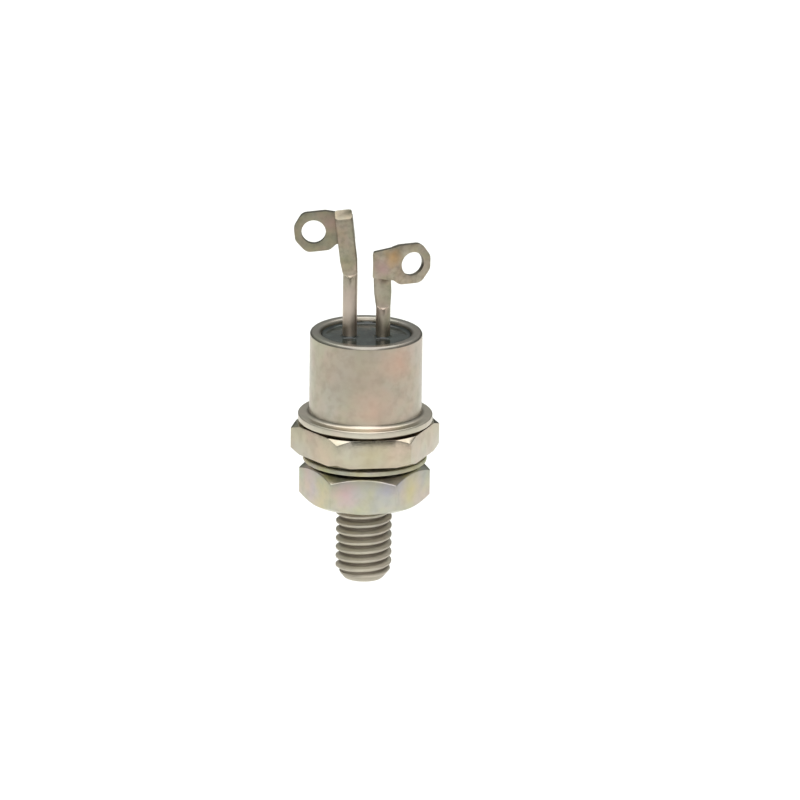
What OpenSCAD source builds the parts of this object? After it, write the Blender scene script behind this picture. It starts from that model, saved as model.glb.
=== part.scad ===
// Stud-mounted thyristor in a sealed metal can, with its lock washer and nut.
// The seat under the hexagon is at z = 0, and the stud points down.

/* [Stud base] */
// Width of the base hexagon across its flats
base_af = 11.2; // [10.6:0.05:12]
// Height of the base hexagon
base_h = 2.5; // [1.8:0.1:4]
// Turn of the base hexagon about the stud, in degrees
base_turn = 8; // [-30:1:30]
// Slope of the chamfers on the base hexagon's corners, in degrees
base_chamfer = 35; // [15:1:45]
// Distance from the base hexagon's flats out to its chamfer circle
base_land = 0.33; // [0.1:0.01:0.6]
// Major diameter of the stud's thread
stud_d = 4.826; // [4.4:0.001:5.2]
// Length of the stud below the seat
stud_len = 11.5; // [10:0.1:16]
// Pitch of the stud's thread
thread_pitch = 0.79375; // [0.7:0.00125:1]
// Length of the chamfer on the stud's tip
tip_len = 0.9; // [0.3:0.05:1.2]
// Diameter of the raised pad that carries the silicon
pad_d = 6.4; // [5.2:0.1:7.4]
// Height of the raised pad above the hexagon
pad_h = 0.4; // [0.3:0.05:0.8]

/* [Cap] */
// Outer diameter of the can
cap_d = 9.7; // [9.4:0.05:10.2]
// Height of the can from its flange to its rim
cap_h = 7.95; // [7:0.05:10]
// Thickness of the can's wall
cap_wall = 0.5; // [0.3:0.05:0.8]
// Width of the rim
rim_w = 0.95; // [0.8:0.05:1.2]
// Radius of the rim's edges
rim_edge = 0.3; // [0.1:0.05:0.35]
// Outer diameter of the foot flange
flange_d = 11.6; // [11:0.05:12]
// Thickness of the foot flange
flange_t = 0.6; // [0.4:0.05:1]
// Radius of the fillet between the flange and the can
foot_r = 0.35; // [0.1:0.05:0.6]
// Thickness of the weld ring under the flange
ring_t = 0.2; // [0.1:0.02:0.4]
// Distance that the weld ring stands back from the flange's edge
ring_inset = 0.3; // [0.1:0.05:0.6]

/* [Glass seal] */
// Thickness of the glass
glass_t = 2.1; // [1.5:0.1:3]
// Depth of the glass below the rim
glass_sink = 0.55; // [0.3:0.05:1]

/* [Terminal tubes] */
// Diameter of a terminal tube
tube_d = 1.25; // [1.15:0.05:1.4]
// Bore of a terminal tube
tube_bore = 0.7; // [0.65:0.05:0.9]
// Distance between the axes of the two tubes
tube_spacing = 2.86; // [2.6:0.02:3.1]
// Length of tube that stands out below the glass
tube_tail = 0.6; // [0.3:0.1:1]
// Height above the seat where the cathode tube is flattened
cathode_pinch = 15.75; // [14.5:0.05:18]
// Height above the seat where the gate tube is flattened
gate_pinch = 12.9; // [12:0.05:14]
// Width of the flattened blade
blade_w = 1.5; // [1.4:0.05:1.7]
// Thickness of the flattened blade
blade_t = 0.95; // [0.8:0.05:1.1]
// Radius of the blade's edges
blade_edge = 0.25; // [0.1:0.05:0.35]
// Length over which a blade widens from the tube's diameter
blade_flare = 1.3; // [1:0.1:3]
// Length of the cathode's flattened blade
cathode_blade = 5.7; // [5.4:0.1:6.4]
// Length of the gate's flattened blade
gate_blade = 4.7; // [4.5:0.1:5]
// Height of the slope from the round tube to the blade
shoulder_h = 0.35; // [0.2:0.05:0.6]
// Rise of the slanted cut on a blade's top, front to back
slant_rise = 0.6; // [0.1:0.05:0.8]
// Lean of the cathode blade, in degrees
cathode_lean = 7; // [0:0.5:10]
// Lean of the gate blade, in degrees
gate_lean = 2.5; // [0:0.5:5]

/* [Lugs] */
// Thickness of the stamped lugs
lug_t = 0.5; // [0.3:0.05:0.8]
// Height of the eye
eye_w = 3.5; // [3.3:0.1:4.2]
// Diameter of the hole in the eye
eye_hole = 2.1; // [1.6:0.1:2.4]
// Distance from the blade's axis to the hole
eye_reach = 2.74; // [2.6:0.02:3.4]
// Distance from the hole's centre to the end of the eye
eye_end = 1.66; // [1.5:0.02:2]
// Distance from the hole's centre back to the start of the eye
eye_back = 1.2; // [1:0.05:1.4]
// Length of the cut corners along the eye
eye_cut_x = 0.85; // [0.4:0.05:1]
// Height of the cut corners on the eye's end
eye_cut_z = 1.15; // [0.4:0.05:1.3]
// Depth of the neck below the hole's centre
neck_low = 1.3; // [1.1:0.05:1.5]
// Length of the step from the neck down to the eye
neck_step = 0.6; // [0.2:0.05:0.7]
// Height of the lug at its end on the blade
tail_w = 2.26; // [1.8:0.02:2.6]
// Height of the lug's centre line above the start of the flat
lug_rise = 3.95; // [3.4:0.05:4.2]
// Bend of the gate's eye towards the back, in degrees
gate_bend = 25; // [5:1:40]
// Inner radius of the bend in the gate's lug
bend_r = 0.3; // [0.15:0.05:0.5]
// Droop of the gate's lug on its blade, in degrees
gate_droop = 3.5; // [0:0.5:8]

/* [Silicon stack] */
// Diameter of the molybdenum plate
plate_d = 4.8; // [4.4:0.1:5.2]
// Thickness of the molybdenum plate
plate_t = 0.5; // [0.3:0.05:0.8]
// Diameter of the silicon pellet
pellet_d = 4; // [3.8:0.1:4.4]
// Thickness of the silicon pellet
pellet_t = 0.3; // [0.2:0.02:0.5]
// Diameter of the cathode's contact plate
contact_d = 2.6; // [2.2:0.1:2.8]
// Thickness of the cathode's contact plate
contact_t = 0.2; // [0.1:0.02:0.4]
// Distance from the cathode lead's foot to the edge of the contact plate
contact_margin = 0.12; // [0.05:0.01:0.16]
// Diameter of the cathode lead
cathode_wire = 0.6; // [0.4:0.02:0.62]
// Diameter of the gate lead
gate_wire = 0.4; // [0.2:0.02:0.5]

/* [Lock washer] */
// Outer diameter of the lock washer
washer_d = 10.7; // [10:0.02:11.6]
// Bore inside the lock washer's teeth
washer_bore = 5.3; // [5.26:0.02:5.6]
// Sheet thickness of the lock washer
washer_t = 0.4; // [0.25:0.05:0.5]
// Width of the lock washer's plain rim
washer_rim = 1.4; // [1:0.1:1.8]
// Number of teeth
tooth_count = 8; // [6:1:9]
// Width of a tooth
tooth_w = 1.7; // [1.4:0.05:1.8]
// Twist of a tooth out of the sheet, in degrees
tooth_twist = 28; // [20:1:40]

/* [Nut] */
// Width of the nut across its flats
nut_af = 9.8; // [9.2:0.05:10.4]
// Thickness of the nut
nut_h = 3.175; // [2.8:0.005:4]
// Turn of the nut about the stud, in degrees
nut_turn = -1; // [-30:1:30]
// Slope of the chamfers on the nut's corners, in degrees
nut_chamfer = 30; // [15:1:40]
// Distance from the nut's flats in to its chamfer circle
nut_bearing = 0.08; // [0.02:0.02:0.2]

/* [Clearances] */
// Gap drawn between pieces that are fused, brazed or welded together
bond_gap = 0.01; // [0.005:0.005:0.02]
// Radial clearance between the stud and the nut
thread_clear = 0.06; // [0.03:0.01:0.1]
// Clearance above and below the lock washer
washer_clear = 0.05; // [0.02:0.01:0.1]

/* [Hidden] */
$fn = 96;
overlap = 0.1;

// Depth of a standard outside thread for its pitch, which the relief and the tip clear
thread_depth = 0.6134 * thread_pitch;
relief_r = stud_d / 2 - thread_depth;
relief_len = 1.5 * thread_pitch;
tip_r = relief_r - thread_depth / 2;
tip_z = tip_len - stud_len;

// The thread as it is cut and plated: a little short of the standard depth, with broad crests that
// lie just inside the collar at the tip
crest_r = stud_d / 2 - bond_gap;
groove_depth = 0.52 * thread_pitch;
flank_w = groove_depth * tan(30);
crest_w = thread_pitch / 5;
root_w = thread_pitch - crest_w - 2 * flank_w;
// Height where the middle of a groove crosses the front
groove_z = -8.25;
// Points of the thread's cross-section, and slices of it to a turn
thread_steps = 16;

ring_z = base_h + bond_gap;
cap_z = ring_z + ring_t + bond_gap;
cap_r = cap_d / 2;
cap_bore_r = cap_r - cap_wall;
rim_bore_r = cap_r - rim_w;
ring_r = flange_d / 2 - ring_inset;
ring_bore_r = cap_bore_r;

rim_z = cap_z + cap_h;
glass_top = rim_z - glass_sink;
glass_z = glass_top - glass_t;

tube_x = tube_spacing / 2;
tube_z = glass_z - tube_tail;
bore_stop = shoulder_h;

lug_face = blade_t / 2 + bond_gap;
bend_x = blade_w / 2;
tail_x = -blade_w / 2;
eye_x = eye_reach - eye_back;
eye_end_x = eye_reach + eye_end;
neck_x = eye_x - neck_step;
// The bend takes its own length out of the flat stamping, and is as high as the sheet at its middle
bend_len = (bend_r + lug_t / 2) * gate_bend * PI / 180;
bend_mid = bend_x + bend_len / 2;
bend_top = tail_w / 2 + (eye_w - tail_w) / 2 * (bend_mid - tail_x) / (eye_x - tail_x);

plate_z = base_h + pad_h + bond_gap;
pellet_z = plate_z + plate_t + bond_gap;
contact_z = pellet_z + pellet_t + bond_gap;
contact_x = tube_x + cathode_wire / 2 + contact_margin - contact_d / 2;

tooth_h = tooth_w * sin(tooth_twist) + washer_t * cos(tooth_twist);
washer_z = -washer_clear - tooth_h / 2;
tooth_root_r = washer_d / 2 - washer_rim;
nut_top = washer_z - tooth_h / 2 - washer_clear;
nut_z = nut_top - nut_h;
nut_bore_r = stud_d / 2 + thread_clear;

nickel = "#b9ad9f";
tinned = "#a39a8c";
steel = "#8f897f";
glass = "#3d4244";
passivate = "#c9c6b0";

// A hexagon standing on z = 0, with its corners chamfered outside the bearing circle at both ends
module hex_block(across_flats, height, turn, bearing_r, slope) {
  corner_r = across_flats / sqrt(3);
  outer_r = corner_r + overlap;
  chamfer_h = (outer_r - bearing_r) * tan(slope);
  intersection() {
    // One flat faces the front when the turn is zero
    rotate([0, 0, turn]) cylinder(r = corner_r, h = height, $fn = 6);
    rotate_extrude() polygon([
      [0, 0],
      [bearing_r, 0],
      [outer_r, chamfer_h],
      [outer_r, height - chamfer_h],
      [bearing_r, height],
      [0, height]
    ]);
  }
}

// A flat ring standing on z = 0
module ring(outer_r, inner_r, height) {
  difference() {
    cylinder(r = outer_r, h = height);
    translate([0, 0, -overlap]) cylinder(r = inner_r, h = height + 2 * overlap);
  }
}

// A flat bar with rounded corners, seen from its end
module blade_section() {
  inner = [blade_w, blade_t] - 2 * [blade_edge, blade_edge];
  square([blade_w, inner[1]], center = true);
  square([inner[0], blade_t], center = true);
  for (x = [-1, 1], y = [-1, 1]) translate([x * inner[0], y * inner[1]] / 2) circle(r = blade_edge);
}

// One terminal tube on the z axis, round up to the pinch and flat above it
module terminal_tube(pinch, lean, length) {
  difference() {
    union() {
      translate([0, 0, tube_z]) cylinder(d = tube_d, h = pinch - tube_z);
      translate([0, 0, pinch]) rotate([0, -lean, 0]) blade(length);
      translate([0, 0, pinch]) shoulder();
    }
    translate([0, 0, tube_z - overlap])
      cylinder(d = tube_bore, h = pinch - bore_stop - tube_z + overlap);
  }
}

// A straight wire from its foot up to the blind end of a tube's bore
module lead(x, foot, pinch, d) {
  translate([x, 0, foot]) cylinder(d = d, h = pinch - bore_stop - bond_gap - foot);
}

// The slope where the tube's front and back are pressed in, starting at z = 0
module shoulder() {
  intersection() {
    cylinder(d = tube_d, h = shoulder_h);
    rotate([90, 0, 90]) translate([0, 0, -tube_d]) linear_extrude(2 * tube_d) polygon([
      [-tube_d / 2, 0],
      [tube_d / 2, 0],
      [blade_t / 2, shoulder_h],
      [-blade_t / 2, shoulder_h]
    ]);
  }
}

// The flat upper end of a tube: it widens from the pinch, and its top falls to the front
module blade(length) {
  intersection() {
    translate([0, 0, -overlap]) linear_extrude(length + overlap) blade_section();
    rotate([90, 0, 90]) translate([0, 0, -blade_w]) linear_extrude(2 * blade_w) polygon([
      [-blade_t, -overlap],
      [blade_t, -overlap],
      [blade_t, length + slant_rise / 2],
      [-blade_t, length - 3 / 2 * slant_rise]
    ]);
    rotate([90, 0, 0]) translate([0, 0, -blade_t]) linear_extrude(2 * blade_t) polygon([
      [-tube_d / 2, -overlap],
      [tube_d / 2, -overlap],
      [tube_d / 2, 0],
      [blade_w / 2, blade_flare],
      [blade_w / 2, length],
      [-blade_w / 2, length],
      [-blade_w / 2, blade_flare],
      [-tube_d / 2, 0]
    ]);
  }
}

// Outline of a lug with its eye to the right and the blade's axis at x = 0
module lug_outline() {
  difference() {
    polygon([
      [tail_x, -tail_w / 2],
      [neck_x, -neck_low],
      [eye_x, -eye_w / 2],
      [eye_end_x - eye_cut_x, -eye_w / 2],
      [eye_end_x, eye_cut_z - eye_w / 2],
      [eye_end_x, eye_w / 2 - eye_cut_z],
      [eye_end_x - eye_cut_x, eye_w / 2],
      [eye_x, eye_w / 2],
      [tail_x, tail_w / 2]
    ]);
    translate([eye_reach, 0]) circle(d = eye_hole);
  }
}

// A sheet of the lug's thickness that stands on the blade's front face
module lug_sheet() {
  translate([0, -lug_face, 0]) rotate([90, 0, 0]) linear_extrude(lug_t) children();
}

// A flat lug on the front of a blade
module flat_lug() {
  lug_sheet() lug_outline();
}

// A lug whose eye is bent back round the blade's side
module bent_lug() {
  reach = eye_end_x + eye_w;
  lug_sheet() intersection() {
    lug_outline();
    translate([-reach, -reach]) square([reach + bend_x, 2 * reach]);
  }
  translate([bend_x, bend_r - lug_face, 0]) {
    rotate([0, 0, gate_bend]) translate([-bend_x - bend_len, lug_face - bend_r, 0]) lug_sheet() intersection() {
      lug_outline();
      translate([bend_x + bend_len, -reach]) square([reach, 2 * reach]);
    }
    rotate([0, 0, -90]) rotate_extrude(angle = gate_bend)
      translate([bend_r, -neck_low]) square([lug_t, neck_low + bend_top]);
  }
}

// Radius of the thread's cross-section at a share of a turn from the middle of the groove
function thread_r(share) =
  let (rise = thread_pitch * min(share, 1 - share) - root_w / 2)
  crest_r - groove_depth * (1 - max(0, min(1, rise / flank_w)));

// A right-hand thread between two heights: a cross-section that turns once to a pitch
module thread(low, high) {
  turns = (high - low) / thread_pitch;
  slices = round(thread_steps * turns);
  translate([0, 0, low]) rotate([0, 0, 360 * (low - groove_z) / thread_pitch - 90])
    linear_extrude(high - low, twist = -360 * turns, slices = slices, $fn = thread_steps) polygon([
      for (i = [0 : thread_steps - 1]) let (angle = 360 * i / thread_steps)
        thread_r(i / thread_steps) * [cos(angle), sin(angle)]
    ]);
}

module stud_base() {
  color(nickel) union() {
    hex_block(base_af, base_h, base_turn, base_af / 2 + base_land, base_chamfer);
    cylinder(d = pad_d, h = base_h + pad_h);
    translate([0, 0, -relief_len - overlap]) cylinder(r = relief_r, h = relief_len + 2 * overlap);
    thread(tip_z, -relief_len);
    rotate_extrude() polygon([
      [0, tip_z + overlap],
      [stud_d / 2, tip_z + overlap],
      [stud_d / 2, tip_z],
      [tip_r, -stud_len],
      [0, -stud_len]
    ]);
  }
}

module weld_ring() {
  color(steel) translate([0, 0, ring_z]) ring(ring_r, ring_bore_r, ring_t);
}

module cap() {
  rim_base = cap_h - rim_edge;
  collar_z = glass_z - cap_z;
  color(nickel) translate([0, 0, cap_z]) rotate_extrude() {
    translate([cap_bore_r, 0]) square([flange_d / 2 - cap_bore_r, flange_t]);
    translate([cap_bore_r, 0]) square([cap_wall, rim_base]);
    translate([rim_bore_r, collar_z]) square([rim_w, rim_base - collar_z]);
    translate([rim_bore_r + rim_edge, collar_z]) square([rim_w - 2 * rim_edge, cap_h - collar_z]);
    for (x = [rim_bore_r + rim_edge, cap_r - rim_edge]) translate([x, rim_base]) circle(r = rim_edge);
    difference() {
      translate([cap_r, flange_t]) square(foot_r);
      translate([cap_r + foot_r, flange_t + foot_r]) circle(r = foot_r);
    }
  }
}

module glass_seal() {
  color(glass) difference() {
    translate([0, 0, glass_z]) cylinder(r = rim_bore_r - bond_gap, h = glass_t);
    for (side = [-1, 1]) translate([side * tube_x, 0, glass_z - overlap])
      cylinder(d = tube_d + 2 * bond_gap, h = glass_t + 2 * overlap);
  }
}

module cathode_tube() {
  color(tinned) translate([-tube_x, 0, 0]) terminal_tube(cathode_pinch, cathode_lean, cathode_blade);
}

module gate_tube() {
  color(tinned) translate([tube_x, 0, 0]) terminal_tube(gate_pinch, gate_lean, gate_blade);
}

module cathode_lug() {
  color(tinned) translate([-tube_x, 0, cathode_pinch]) rotate([0, -cathode_lean, 0])
    translate([0, 0, lug_rise]) rotate([0, 0, 180]) flat_lug();
}

module gate_lug() {
  color(tinned) translate([tube_x, 0, gate_pinch]) rotate([0, -gate_lean, 0])
    translate([0, 0, lug_rise]) rotate([0, gate_droop, 0]) bent_lug();
}

module base_plate() {
  color(steel) translate([0, 0, plate_z]) cylinder(d = plate_d, h = plate_t);
}

module pellet() {
  color(glass) translate([0, 0, pellet_z]) cylinder(d = pellet_d, h = pellet_t);
}

module cathode_plate() {
  color(steel) translate([-contact_x, 0, contact_z]) cylinder(d = contact_d, h = contact_t);
}

module cathode_lead() {
  color(tinned) lead(-tube_x, contact_z + contact_t + bond_gap, cathode_pinch, cathode_wire);
}

module gate_lead() {
  color(tinned) lead(tube_x, contact_z, gate_pinch, gate_wire);
}

module lock_washer() {
  color(passivate) translate([0, 0, washer_z]) difference() {
    union() {
      translate([0, 0, -washer_t / 2]) ring(washer_d / 2, tooth_root_r, washer_t);
      for (i = [0 : tooth_count - 1]) rotate([0, 0, i * 360 / tooth_count])
        rotate([tooth_twist, 0, 0]) translate([0, -tooth_w / 2, -washer_t / 2])
          cube([tooth_root_r + overlap, tooth_w, washer_t]);
    }
    cylinder(d = washer_bore, h = 2 * tooth_h, center = true);
  }
}

module hex_nut() {
  color(passivate) translate([0, 0, nut_z]) difference() {
    hex_block(nut_af, nut_h, nut_turn, nut_af / 2 - nut_bearing, nut_chamfer);
    translate([0, 0, -overlap]) cylinder(r = nut_bore_r, h = nut_h + 2 * overlap);
    for (end = [0, 1]) translate([0, 0, end * nut_h]) mirror([0, 0, end])
      translate([0, 0, -overlap]) cylinder(
        r1 = nut_bore_r + thread_depth / 2 + overlap,
        r2 = nut_bore_r - overlap,
        h = thread_depth / 2 + 2 * overlap
      );
  }
}

stud_base();
weld_ring();
cap();
glass_seal();
cathode_tube();
gate_tube();
cathode_lug();
gate_lug();
base_plate();
pellet();
cathode_plate();
cathode_lead();
gate_lead();
lock_washer();
hex_nut();
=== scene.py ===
"""A stud-mounted thyristor: a plated can with two eyelet terminals, on a hexagon base with washer and nut.

Shapes are modelled in millimetres about the stud's axis, with the seat under the hexagon at z = 0 and the
stud pointing down, and each finished mesh is scaled to metres.
"""

import math

import bmesh
import bpy
from bmesh.types import BMEdge, BMFace, BMVert
from mathutils import Matrix, Vector


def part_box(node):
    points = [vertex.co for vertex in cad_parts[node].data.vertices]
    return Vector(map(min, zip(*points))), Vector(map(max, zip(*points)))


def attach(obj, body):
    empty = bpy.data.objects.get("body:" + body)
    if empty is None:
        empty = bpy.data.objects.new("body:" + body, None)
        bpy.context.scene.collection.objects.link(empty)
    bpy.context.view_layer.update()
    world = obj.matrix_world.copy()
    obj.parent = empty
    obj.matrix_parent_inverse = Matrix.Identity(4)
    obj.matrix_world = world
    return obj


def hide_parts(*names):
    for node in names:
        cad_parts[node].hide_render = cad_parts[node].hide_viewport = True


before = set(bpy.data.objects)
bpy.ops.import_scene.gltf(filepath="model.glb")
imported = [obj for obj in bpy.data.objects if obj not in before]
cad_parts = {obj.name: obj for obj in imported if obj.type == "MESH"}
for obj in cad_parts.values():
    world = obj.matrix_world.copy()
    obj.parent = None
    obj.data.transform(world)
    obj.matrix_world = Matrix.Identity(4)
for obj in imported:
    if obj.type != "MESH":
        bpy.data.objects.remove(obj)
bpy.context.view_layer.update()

MM = 0.001
AXIS = Vector((0, 0, 1))


def box_mm(node):
    """The lowest and the highest corner of a solid of the frame, in millimetres."""
    low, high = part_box(node)
    return low / MM, high / MM


# Places that the frame gives, in millimetres
stud_tip = box_mm("stud_base")[0].z
pad_top = box_mm("stud_base")[1].z
ring_low, ring_high = box_mm("weld_ring")
can_low, can_high = box_mm("cap")
glass_low, glass_high = box_mm("glass_seal")
post_low = box_mm("cathode_tube")[0].z
washer_low, washer_high = box_mm("lock_washer")
nut_low, nut_high = box_mm("hex_nut")

# Gap between pieces that are fused, brazed or welded together
BOND_GAP = 0.01
base_top = ring_low.z - BOND_GAP

# Stud and its thread
STUD_R = 2.413
PITCH = 0.79375
THREAD_DEPTH = 0.52 * PITCH
ROOT_R = STUD_R - THREAD_DEPTH
THREAD_CREST = PITCH / 5
CREST_EDGE = THREAD_CREST / 3
FLANK_ANGLE = math.radians(30)
# A thread of the standard depth, which the undercut and the tip clear
STANDARD_DEPTH = 0.6134 * PITCH
THREAD_GROOVE_Z = -8.25
UNDERCUT = 1.5 * PITCH
UNDERCUT_R = STUD_R - STANDARD_DEPTH
# The turning tool's nose leaves a slight slope between the seat and the undercut
SEAT_FILLET = 0.05
TIP_R = UNDERCUT_R - STANDARD_DEPTH / 2
TIP_CHAMFER = 0.9
TIP_ROUND = 0.12
NUT_PLAY = 0.06

# Hexagons
BASE_FLATS = 11.2
BASE_TURN = math.radians(8)
BASE_CHAMFER = math.radians(35)
# The base's bearing circle lies this far outside its flats, and the nut's this far inside
BASE_LAND = 0.33
NUT_BEARING = 0.08
PAD_R = 3.2
NUT_FLATS = 9.8
NUT_TURN = math.radians(-1)
NUT_CHAMFER = math.radians(30)
# The countersink of the nut's bore, and the ring that joins it to the nut's face
NUT_SINK = STANDARD_DEPTH / 2
NUT_LAND = 0.1
HEX_EDGE = 0.05

# Can, weld ring and glass
CAN_R = 4.85
CAN_WALL = 0.5
RIM_W = 0.95
RIM_EDGE = 0.3
FLANGE_T = 0.6
FLANGE_EDGE = 0.1
FOOT_R = 0.35
MENISCUS_H = 0.2
MENISCUS_W = 0.34
# The rings of the meniscus, as shares of its width out from the wall, and how steeply it falls
MENISCUS_RINGS = (0, 0.12, 0.3, 0.6, 1)
MENISCUS_POWER = 3

# Terminal posts
POST_X = 1.43
POST_D = 1.25
POST_BORE = 0.7
BLADE_W = 1.5
BLADE_T = 0.95
# Height over which a post widens to its blade, and the power that squares its section, where 1 is round
BLADE_FLARE = 1.3
BLADE_SQUARENESS = 0.38
# Half the height over which a blade bends to its lean
SHOULDER = 0.2
# The pressing jaws leave a ledge that ends in a V, a bite above it and a crease below it
V_DEPTH = 0.28
LEDGE_H = 0.26
BITE = 0.2
BITE_LEN = 1.4
CREASE_LEN = 0.7
# Shares of the post's half width and half thickness
CREASE_W = 0.3
CREASE_DEPTH = 0.22
# The blade's top is sheared off at a slant
SLANT = 0.6
CUT_EDGE = 0.05
# Each pinch's height over the seat, and the length and lean of the blade over it
CATHODE_PINCH = 15.75
CATHODE_BLADE = 5.7
CATHODE_LEAN = math.radians(7)
GATE_PINCH = 12.9
GATE_BLADE = 4.7
GATE_LEAN = math.radians(2.5)

# Eyelet lugs
LUG_T = 0.5
LUG_FACE = BLADE_T / 2 + BOND_GAP
# Height of a lug's middle over its pinch
LUG_RISE = 3.95
LUG_EDGE = 0.07
LUG_CORNER = 0.12
# A lug's rims turn by more than this, between a sheared side and a flat that faces front or back
LUG_RIM_ANGLE = math.radians(60)
LUG_FLAT_FACING = 0.9
EYE_CORNER = 0.8
EYE_H = 3.5
EYE_HOLE = 2.1
# Along a lug: from the blade's middle to the hole, from the hole to both ends of the eye, and the neck
EYE_REACH = 2.74
EYE_OUTER = 1.66
EYE_INNER = 1.2
NECK_LEN = 0.6
EYE_END = EYE_REACH + EYE_OUTER
EYE_START = EYE_REACH - EYE_INNER
NECK_X = EYE_START - NECK_LEN
# How far the eye's outer corners are cut off, along the lug and across it
EYE_CUT = Vector((0.85, 1.15))
NECK_LOW = 1.3
TAIL_X = -BLADE_W / 2
TAIL_H = 2.26
GATE_BEND = math.radians(25)
BEND_X = BLADE_W / 2
BEND_R = 0.3
GATE_DROOP = math.radians(3.5)

# Lock washer
WASHER_T = 0.4
WASHER_RIM = 1.4
WASHER_BORE_R = 2.65
TOOTH_COUNT = 8
TOOTH_HALF = math.radians(12)
# Each stage of a tooth: its share of the tooth's reach, and the degrees that it twists
TOOTH_STATIONS = [(0.12, 10), (0.12, 10), (0.12, 8), (0.64, 0)]
WASHER_EDGE = 0.08

# Fineness of the meshes
TURN_STEPS = 160
# Divides by six flats and by eight teeth
HEX_STEPS = 240
THREAD_STEPS = 80
POST_STEPS = 64
POST_MENISCUS_STEPS = 40
PINCH_STEPS = 24
HOLE_STEPS = 48
BEND_STEPS = 6
FLOOR_STEPS = 96
ARC_STEP = math.radians(15)
SHARP_ANGLE = math.radians(29)
MERGE = 0.002

# The photograph's view: the camera stands at -Y, above the horizon and slightly rolled
PHOTO_PX = 800
PX_PER_MM = 11.6
SEAT_PX = Vector((364.8, 449.0))
ELEVATION = math.radians(17.5)
ROLL = math.radians(0.76)
CAMERA_DISTANCE = 1500
CAMERA_REACH = 10000
SENSOR_W = 36
FLOOR_DROP = 60
FLOOR_R = 600


def rounded(corners, closed=True):
    """The points of an outline of (x, y, radius) corners, with an arc at each corner that has a radius."""
    points = []
    for i, (x, y, radius) in enumerate(corners):
        corner = Vector((x, y))
        is_end = not closed and i in (0, len(corners) - 1)
        if radius == 0 or is_end:
            points.append(corner)
            continue
        back = (Vector(corners[i - 1][:2]) - corner).normalized()
        on = (Vector(corners[(i + 1) % len(corners)][:2]) - corner).normalized()
        half = back.angle(on) / 2
        centre = corner + (back + on).normalized() * radius / math.sin(half)
        start = corner + back * radius / math.tan(half) - centre
        sweep = math.copysign(math.pi - 2 * half, on.cross(back))
        steps = max(2, math.ceil(abs(sweep) / ARC_STEP))
        points += [centre + Matrix.Rotation(sweep * k / steps, 2) @ start for k in range(steps + 1)]
    return points


def loop(bm, points, closed=True):
    """A chain of edges through the points."""
    verts = [bm.verts.new(p) for p in points]
    pairs = list(zip(verts, verts[1:]))
    if closed:
        pairs.append((verts[-1], verts[0]))
    return verts, [bm.edges.new(pair) for pair in pairs]


def everything(bm):
    """All the geometry of a bmesh, for operators that want a list."""
    return bm.verts[:] + bm.edges[:] + bm.faces[:]


def only(geom, kind):
    """The elements of one kind in an operator's result."""
    return [element for element in geom if isinstance(element, kind)]


def edges_of(verts):
    """The edges of some vertices, each once and in a fixed order."""
    return list(dict.fromkeys(e for v in verts for e in v.link_edges))


def tidy(bm):
    """Merges doubled vertices and turns the faces outwards."""
    bmesh.ops.remove_doubles(bm, verts=bm.verts, dist=MERGE)
    bmesh.ops.recalc_face_normals(bm, faces=bm.faces)


def turned(outline, steps=TURN_STEPS, closed=True):
    """A turned or drawn round piece: an (r, z) outline spun round the stud's axis."""
    bm = bmesh.new()
    verts, edges = loop(bm, [(r, 0, z) for r, z in outline], closed)
    bmesh.ops.spin(bm, geom=verts + edges, axis=AXIS, angle=math.tau, steps=steps, use_merge=True)
    tidy(bm)
    return bm


def join(bm, other):
    """Adds another bmesh to this one."""
    carrier = bpy.data.meshes.new("carrier")
    other.to_mesh(carrier)
    other.free()
    bm.from_mesh(carrier)
    bpy.data.meshes.remove(carrier)


def bevel(bm, edges, width, segments):
    """Rounds edges over."""
    bmesh.ops.bevel(
        bm, geom=edges, offset=width, affect="EDGES", segments=segments, profile=0.5, material=-1,
        clamp_overlap=True,
    )


def cut(bm, height, keep_above):
    """Cuts a skin off level and drops one side."""
    bmesh.ops.bisect_plane(
        bm, geom=everything(bm), dist=MERGE / 10, plane_co=AXIS * height, plane_no=AXIS,
        clear_outer=not keep_above, clear_inner=keep_above,
    )


def open_edges(bm, low, high):
    """The open edges of a skin that lie between two heights."""
    return [
        e for e in bm.edges
        if e.is_boundary and all(low <= v.co.z <= high for v in e.verts)
    ]


def piece(bm, name, body, node, finish):
    """Finishes a bmesh as a named object in metres, which stands for a node of the frame."""
    bmesh.ops.scale(bm, vec=(MM, MM, MM), verts=bm.verts)
    mesh = bpy.data.meshes.new(name)
    bm.to_mesh(mesh)
    bm.free()
    mesh.shade_smooth()
    mesh.set_sharp_from_angle(angle=SHARP_ANGLE)
    mesh.materials.append(finish)
    made = bpy.data.objects.new(name, mesh)
    bpy.context.collection.objects.link(made)
    flats = made.modifiers.new("flats", "WEIGHTED_NORMAL")
    flats.keep_sharp = True
    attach(made, body)
    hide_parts(node)


# Threads and hexagons


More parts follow.
